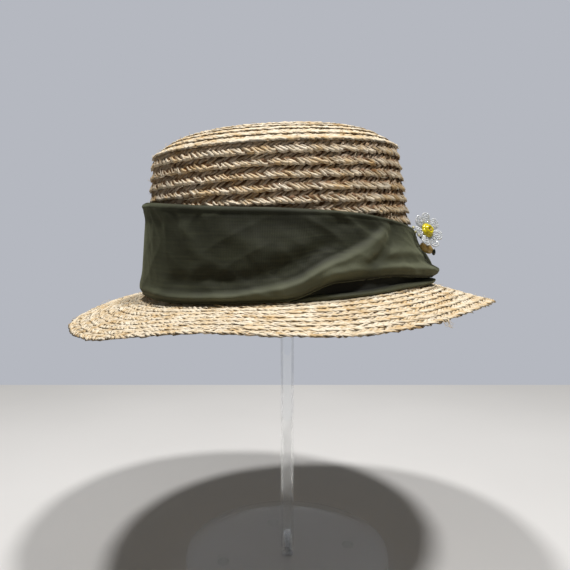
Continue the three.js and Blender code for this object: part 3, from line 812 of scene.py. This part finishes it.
class BOATER_OT_band(bpy.types.Operator):
    """Wrap the folded cloth band around the crown"""

    bl_idname = "boater.band"
    bl_label = "Cloth band"

    def execute(self, context):
        material = cloth_material(context.scene.boater_colours)

        # Around the section: up the outer face, over the top edge, down the inner face and back
        def section(v):
            t = v % 1
            outer = np.interp(t, (0, 0.62, 1.0), (0, 1, 0))
            inside = smooth(0.60, 0.66, t) * smooth(1.0, 0.96, t)
            return outer, inside

        def place(u, v):
            degrees = BAND_START + (BAND_END - BAND_START) * u
            share, inside = section(v)
            # The bottom edge is lifted a little over the crease at the near right
            low = band_bottom(degrees) + 2.2 * smooth(274, 290, degrees) * smooth(349, 330, degrees)
            high = around(BAND_TOP, degrees)
            z = low + (high - low) * share
            ends = smooth(0.01, 0.06, share) * smooth(1, 0.97, share)
            out = band_out(degrees, share) + fold_height(degrees, share) * ends
            # Turned hem along the top edge: a small ridge with a groove below it
            hem = 0.4 * np.exp(-((share - 0.955) / 0.02) ** 2) - 0.3 * np.exp(-((share - 0.915) / 0.01) ** 2)
            out = out + hem
            inner = np.maximum(out - CLOTH_THICKNESS, BAND_CLEAR - 0.2)
            return hat_place(on_wall(degrees, out + (inner - out) * inside, z))

        def uv(u, v):
            share, inside = section(v)
            return np.stack([u * 58, share * 6.2 + inside * 7], 1)

        # Painted light on the band: a painted highlight on the outer face's raised folds and on its lower
        # part near the right end, and painted shade along the bottom edge over the crease
        def painted_light(u, v):
            degrees = BAND_START + (BAND_END - BAND_START) * u
            share, inside = section(v)
            raised = 0.7 * smooth(-0.3, 6.5, fold_height(degrees, share))
            right = 0.36 * smooth(296, 318, degrees) * smooth(1.0, 0.3, share)
            under = smooth(0.055, 0.02, share) * smooth(276, 292, degrees)
            return np.clip(raised + right, 0, 0.8) * (1 - inside) * smooth(0.02, 0.07, share) - under

        mesh = shaped_grid("scarf_cloth", 440, 96, place, uv, painted_light)
        band = finish_piece(mesh, material, "cloth", "scarf_band")

        def place_fold(u, v):
            # It is fuller towards the tie, and lower at its middle, where the crease above it opens
            a = LOWER_FOLD_START + u * (BAND_END + 1.5 - LOWER_FOLD_START)
            out = 0.8 + 2.8 * smooth(LOWER_FOLD_START, 300, a) + 8 * smooth(315, 346, a)
            share = (BAND_CLEAR + out / 2) / around(BRIM_WIDTH, a)
            low = join_height(a) - around(BRIM_DROP, a) * share ** BRIM_POWER + 1.25
            opening = 0.52 * smooth(276, 290, a) * smooth(338, 302, a)
            half = (band_bottom(a) - 0.4 - low) * (1 - opening) / 2
            t = v * TAU
            crease = 1 + 0.08 * np.sin(3 * t + a / 14) + 0.04 * np.sin(2 * t - a / 6)
            closing = smooth(0, 0.02, u) * np.sqrt(np.clip(smooth(1.03, 0.955, u), 0, 1))
            # Its inner side runs on up behind the band, so that no straw shows in the crease; there it
            # is painted near black as shade
            near = 0.32 * smooth(322, 338, a)
            behind = 9 * smooth(near - 0.55, near - 0.9, np.cos(t)) * smooth(0, 0.4, np.sin(t)) * closing
            return hat_place(on_wall(
                a, BAND_CLEAR + out * 0.5 + out * 0.5 * np.cos(t) * crease * closing,
                low + half + half * np.sin(t) * closing + behind))

        # Painted light on the lower fold: a painted highlight on its outer face and near black painted shade
        # on its inner side, which runs up behind the band
        def painted_light_fold(u, v):
            fold_highlight = 0.4 * smooth(0.2, 0.8, np.cos(v * TAU + 0.5))
            return fold_highlight - smooth(0.3, -0.2, np.cos(v * TAU + 0.3)) * smooth(0.02, 0.2, u)

        mesh = shaped_grid("scarf_lower_fold", 150, 28, place_fold,
                           lambda u, v: np.stack([u * 11, v * 2.2 + 3], 1), painted_light_fold)
        lower = finish_piece(mesh, material, "cloth", "scarf_hem")

        def place_tie(u, v):
            # A flat loop of cloth around the two ends, with upright pleats and a slight waist
            a = -12.4 + u * 23.8
            t = v * TAU
            half = 12.6 - 1.6 * np.sin(math.pi * u)
            pleat = (1 + 0.10 * np.sin(math.pi * 7 * u + 0.7 * np.sin(t))
                     + 0.05 * np.sin(math.pi * 16 * u + 1))
            out = (7.6 + 1.4 * np.sin(math.pi * u)) * (1 - 0.42 * np.sin(t)) * pleat
            closing = np.sqrt(np.clip(1 - (2 * u - 1) ** 8, 0, 1))
            flat = np.sign(np.cos(t)) * np.abs(np.cos(t)) ** 0.7
            return hat_place(on_wall(
                a, BAND_CLEAR + 0.2 + out * 0.5 * (1 + flat * closing), 18 + half * np.sin(t) * closing))

        mesh = shaped_grid("scarf_tie_cloth", 84, 64, place_tie, lambda u, v: np.stack([u * 3, v * 7], 1))
        tie = finish_piece(mesh, material, "cloth", "scarf_tie")
        return {"FINISHED"}


def joined_beads(name, centres, diameters, segments=8, rings=6):
    """Round beads in one mesh, each with its own tone. Centres are in the frame, in metres."""
    bm = bmesh.new()
    random = np.random.default_rng(len(centres))
    tone = bm.verts.layers.float.new("tone")
    for centre, diameter in zip(centres, diameters):
        made = bmesh.ops.create_uvsphere(bm, u_segments=segments, v_segments=rings, radius=diameter / 2)
        turn = Matrix.Rotation(random.uniform(0, TAU), 3, Vector(random.normal(size=3)).normalized())
        value = random.random()
        for vert in made["verts"]:
            vert.co = Vector(centre) + turn @ vert.co
            vert[tone] = value
    return mesh_from(bm, name)


FLOWER_POSITION = (103.8, -26, 38.2)
FLOWER_TURN = math.radians(35)
FLOWER_TILT = math.radians(70)
# A petal's loops of beads: length and half width of the loop, its rise and its number of beads
PETAL_START = 4.4
PETAL_LOOPS = ((8.2, 4.3, 0.0, 21), (6.6, 2.9, 0.4, 15), (4.8, 1.4, 0.7, 8))
# The heart's rings: radius, half thickness, height and number of glass drops
HEART_BEADS = (3.45, 1.85, 1.0, 7)
HEART_CURL = (2.35, 1.35, 3.1, 5)
GOLD_BEAD = (0.5, -0.6, 3.4)
SMALL_BEADS = ((92.9, -34.0, 41.2), (94.4, -34.6, 38.2), (96.2, -35.2, 35.8))
BACKING = ((0, -4), (5.6, -4), (5.6, -1.4), (0, -1.4))
# The stones: middle, half lengths and turn
AMBER_STONE = ((102.4, -31, 26.6), (5.2, 2, 3.2), math.radians(40))
DARK_STONE = ((107.3, -31, 23.6), (1.3, 1.5, 2.4), 0)


def flower_place(points):
    """Points of the flower's own frame, face along +Z, in the object's frame."""
    x, y, z = np.asarray(points, float).T
    y, z = turned(y, z, FLOWER_TILT)
    x, y = turned(x, y, FLOWER_TURN)
    return hat_place(np.stack([x, y, z], 1) + FLOWER_POSITION)


def spun(name, profile, steps, place):
    """A profile of (radius, height) in millimetres spun round, then placed."""
    bm = bmesh.new()
    verts = [bm.verts.new((r, 0, z)) for r, z in profile]
    edges = [bm.edges.new(pair) for pair in zip(verts[:-1], verts[1:])]
    bmesh.ops.spin(bm, geom=verts + edges, cent=(0, 0, 0), axis=(0, 0, 1), angle=TAU, steps=steps,
                   use_merge=True)
    bmesh.ops.remove_doubles(bm, verts=bm.verts, dist=1e-5)
    bmesh.ops.recalc_face_normals(bm, faces=bm.faces)
    points = place(np.array([v.co for v in bm.verts]))
    for vert, point in zip(bm.verts, points):
        vert.co = point
    return mesh_from(bm, name)


def rounded(profile, radius, steps=4):
    """The profile with its inner corners rounded."""
    result = [profile[0]]
    for before, corner, after in zip(profile[:-2], profile[1:-1], profile[2:]):
        before, corner, after = (np.array(p, float) for p in (before, corner, after))
        r = min(radius, np.linalg.norm(before - corner) / 2, np.linalg.norm(after - corner) / 2)
        a = corner + unit(before - corner) * r
        b = corner + unit(after - corner) * r
        for i in range(steps + 1):
            t = i / steps
            result.append(tuple((1 - t) ** 2 * a + 2 * t * (1 - t) * corner + t * t * b))
    result.append(profile[-1])
    return result


class BOATER_OT_flower(bpy.types.Operator):
    """String the beaded flower at the end of the band"""

    bl_idname = "boater.flower"
    bl_label = "Beaded flower"

    def execute(self, context):
        sizes = context.scene.boater_sizes
        colours = context.scene.boater_colours
        clear = glass_material("clear_pressed_glass", "#E6EEF6", colours.petal, 0.1, 0.3, 700.0)
        yellow = glass_material("yellow_opaque_glass", "#CBBC0C", colours.heart, 0.2, 0.0, 400.0)
        gold = glass_material("gold_lined_glass", "#C4A24A", "#E2C58C", 0.16, 0.2, 500.0)
        pale = glass_material("pale_yellow_glass", "#D9D49A", "#EFECC4", 0.15, 0.1, 500.0)
        amber = glass_material("amber_cut_glass", "#A0803A", "#E6CC8A", 0.1, 0.3, 260.0)
        dark = glass_material("dark_green_glass", "#10160C", "#232B1A", 0.12, 0.0, 300.0)
        cloth = bpy.data.materials.get(COTTON) or cloth_material(colours)

        for petal in range(sizes.petals):
            turn = TAU * petal / sizes.petals - 1.3
            centres, widths = [], []
            for long, wide, rise, count in PETAL_LOOPS:
                for i in range(count):
                    t = TAU * (i + 0.5) / count
                    r = PETAL_START + long * 0.5 * (1 + math.cos(t))
                    s = wide * math.sin(t) * (0.75 + 0.25 * math.cos(t))
                    centres.append((*turned(r, s, turn), rise + 0.3 * (r - PETAL_START)))
                    widths.append(sizes.bead * (1.0 if i % 5 else 0.86))
            mesh = joined_beads(f"petal_beads_{petal + 1}", flower_place(centres), widths)
            finish_piece(mesh, clear, "clear_glass_beads", f"flower_petal_{petal + 1}")

        def coil(name, radius, tube, z, lobes):
            """A ring of thick glass drops, a little narrower between them."""
            profile = [(radius + tube * math.cos(TAU * i / 14), z + tube * math.sin(TAU * i / 14))
                       for i in range(15)]

            def place(points):
                angle = np.arctan2(points[:, 1], points[:, 0])
                pinch = 1 - 0.16 * np.abs(np.sin(lobes * angle / 2 + z)) ** 6
                centre = np.stack([radius * np.cos(angle), radius * np.sin(angle), 0 * angle + z], 1)
                return flower_place(centre + (points - centre) * pinch[:, None])
            mesh = spun(name, profile, 84, place)
            mesh.attributes.new("tone", "FLOAT", "POINT")
            return mesh

        finish_piece(coil("flower_heart_beads", *HEART_BEADS), yellow, "yellow_beads", "flower_centre")
        finish_piece(coil("flower_heart_curl", *HEART_CURL), yellow, "yellow_beads")
        mesh = joined_beads("flower_gold_bead", flower_place([GOLD_BEAD]), [2.3 * MM], 16, 12)
        finish_piece(mesh, gold, "yellow_beads")
        mesh = joined_beads("small_beads_beside_flower", hat_place(SMALL_BEADS), [1.9 * MM] * 3, 12, 8)
        finish_piece(mesh, pale, "yellow_beads")
        mesh = spun("flower_backing", rounded(BACKING, 0.7), 40, flower_place)
        finish_piece(mesh, cloth, "cloth", "flower_back")
        for name, stone, glass, slot, node in (
                ("flower_amber_drop", AMBER_STONE, amber, "amber_glass", "flower_drop"),
                ("flower_dark_bead", DARK_STONE, dark, "dark_glass", "flower_drop_end")):
            mesh = joined_beads(name, [(0, 0, 0)], [1.0], 20, 14)
            set_stone(mesh, *stone)
            finish_piece(mesh, glass, slot, node)
        return {"FINISHED"}


def set_stone(mesh, centre, size, turn):
    """Moves a round bead's points to an oval stone on the hat."""
    x, y, z = (np.array([v.co for v in mesh.vertices]) * 2 * size).T
    x, z = turned(x, z, -turn)
    mesh.vertices.foreach_set("co", hat_place(np.stack([x, y, z], 1) + centre).ravel())
    mesh.update()


# Profiles of the stand's pieces, as (radius, height) in mm
DISC = ((2.6, 4.5), (2.6, 2), (77.5, 2), (77.5, 7), (2.6, 7), (2.6, 4.5))
ROD_BORE = (0, 19.3)
ROD = ((2.5, 19.3), (2.5, 7.3), (5, 7.3), (5, 318.8), (0, 318.8))
CAP = (
    (0, 319.1), (5.3, 319.1), (5.3, 310.8), (30, 310.8), (32, 312.8), (32, 315.8), (26, 319.3),
    (14, 322.2), (0, 323.2),
)
SCREW = (
    (0, 0.9), (1.6, 0.9), (1.7, 0.4), (4.2, 0.4), (4.6, 0.9), (4.6, 1.7), (2.2, 1.7), (2.2, 18.3),
    (0, 18.3),
)
FOOT = ((0, 0), (4.2, 0), (4.5, 1.7), (0, 1.7))
FOOT_REACH = 50
FOOT_DEGREES = (14, 104, 194, 284)


class BOATER_OT_stand(bpy.types.Operator):
    """Make the clear stand"""

    bl_idname = "boater.stand"
    bl_label = "Clear stand"

    def execute(self, context):
        acrylic = acrylic_material()

        def at_rod(points):
            return (points + (ROD_X, 0, 0)) * MM

        for name, profile, steps, node in (
                ("clear_disc", rounded(DISC, 0.6), 128, "stand_disc"),
                ("clear_rod", [ROD_BORE, *rounded(ROD, 0.4)], 48, "stand_rod"),
                ("clear_cap", rounded(CAP, 1.0), 64, "stand_cap")):
            finish_piece(spun(name, profile, steps, at_rod), acrylic, "clear_acrylic", node)
        screw = spun("steel_screw", rounded(SCREW, 0.15), 40, at_rod)
        finish_piece(screw, steel_material(), "steel", "stand_screw")
        for i, turn in enumerate(FOOT_DEGREES, 1):
            x, y = turned(FOOT_REACH, 0, math.radians(turn))
            foot = spun(f"clear_foot_{i}", rounded(FOOT, 0.4), 32,
                        lambda points: (points + (ROD_X + x, y, 0)) * MM)
            finish_piece(foot, acrylic, "clear_acrylic", f"stand_foot_{i}")
        return {"FINISHED"}


CAMERA_PLACE = (0.0031, -0.415, 0.236)
CAMERA_PITCH = math.radians(3.5)
CAMERA_LENS = 34.67
FLOOR_HALF = 0.545
# Two soft round lights, as name, place and watts
LIGHTS = (("left_top_light", (-0.26, -0.14, 1.55), 13.5), ("right_top_light", (0.30, -0.34, 1.45), 15.3))
LIGHT_TARGET = (0, 0, 0.25)
LIGHT_WIDTH = 0.16
LIGHT_COLOUR = "#FFFBF7"


def add_light(name, place, watts):
    """A round soft light that faces the hat."""
    light = bpy.data.lights.new(name, "AREA")
    light.shape = "DISK"
    light.size = LIGHT_WIDTH
    light.energy = watts
    light.color = linear(LIGHT_COLOUR)[:3]
    lamp = bpy.data.objects.new(name, light)
    lamp.location = place
    lamp.rotation_euler = (Vector(LIGHT_TARGET) - Vector(place)).to_track_quat("-Z", "Y").to_euler()
    bpy.context.scene.collection.objects.link(lamp)


class BOATER_OT_stage(bpy.types.Operator):
    """Set the floor, the lights and the camera"""

    bl_idname = "boater.stage"
    bl_label = "Stage"

    def execute(self, context):
        bm = bmesh.new()
        bmesh.ops.create_grid(bm, x_segments=1, y_segments=1, size=FLOOR_HALF)
        mesh = mesh_from(bm, "floor")
        mesh.materials.append(stage_material("matt_pale_floor", "#CFD0D1", "#D5D6D7"))
        floor = bpy.data.objects.new("floor", mesh)
        context.scene.collection.objects.link(floor)

        # A pale plain room that is seen behind the floor and through the acrylic, but lights the hat little
        world = bpy.data.worlds.new("soft_room")
        world.use_nodes = True
        tree = world.node_tree
        tree.nodes.clear()
        rays = add_node(tree, "LightPath")
        seen = add_node(tree, "Math", {
            0: rays.outputs["Is Camera Ray"], 1: rays.outputs["Is Transmission Ray"]}, operation="MAXIMUM")
        fill = add_node(tree, "Background", {"Color": linear("#D6D4D0"), "Strength": 0.2})
        wall = add_node(tree, "Background", {"Color": linear("#B5B8C0"), "Strength": 1.0})
        mixed = add_node(tree, "MixShader", {
            0: seen.outputs["Value"], 1: fill.outputs["Background"], 2: wall.outputs["Background"]})
        add_node(tree, "OutputWorld", {"Surface": mixed.outputs["Shader"]})
        context.scene.world = world
        context.scene.view_settings.view_transform = "Standard"
        for light in LIGHTS:
            add_light(*light)

        camera = bpy.data.objects.new("camera", bpy.data.cameras.new("camera"))
        camera.data.lens = CAMERA_LENS
        camera.data.sensor_width = 36
        camera.location = CAMERA_PLACE
        camera.rotation_euler = (math.pi / 2 - CAMERA_PITCH, 0, 0)
        context.scene.collection.objects.link(camera)
        context.scene.camera = camera
        return {"FINISHED"}


class BOATER_PT_panel(bpy.types.Panel):
    """Sizes, colours and the steps that make the hat"""

    bl_idname = "BOATER_PT_panel"
    bl_label = "Straw boater"
    bl_space_type = "VIEW_3D"
    bl_region_type = "UI"
    bl_category = "Boater"

    def draw(self, context):
        layout = self.layout
        for group in (context.scene.boater_sizes, context.scene.boater_colours):
            for name in type(group).__annotations__:
                layout.prop(group, name)
        for operator in OPERATORS:
            layout.operator(operator.bl_idname)


OPERATORS = (
    BOATER_OT_stage, BOATER_OT_straw, BOATER_OT_loose_ends, BOATER_OT_band, BOATER_OT_flower, BOATER_OT_stand,
)
CLASSES = (BoaterSizes, BoaterColours, *OPERATORS, BOATER_PT_panel)


def register():
    for cls in CLASSES:
        bpy.utils.register_class(cls)
    bpy.types.Scene.boater_sizes = bpy.props.PointerProperty(type=BoaterSizes)
    bpy.types.Scene.boater_colours = bpy.props.PointerProperty(type=BoaterColours)


def unregister():
    del bpy.types.Scene.boater_colours
    del bpy.types.Scene.boater_sizes
    for cls in reversed(CLASSES):
        bpy.utils.unregister_class(cls)


def main():
    register()
    bpy.ops.boater.stage()
    bpy.ops.boater.straw()
    bpy.ops.boater.loose_ends()
    bpy.ops.boater.band()
    bpy.ops.boater.flower()
    bpy.ops.boater.stand()


if __name__ == "__main__":
    main()
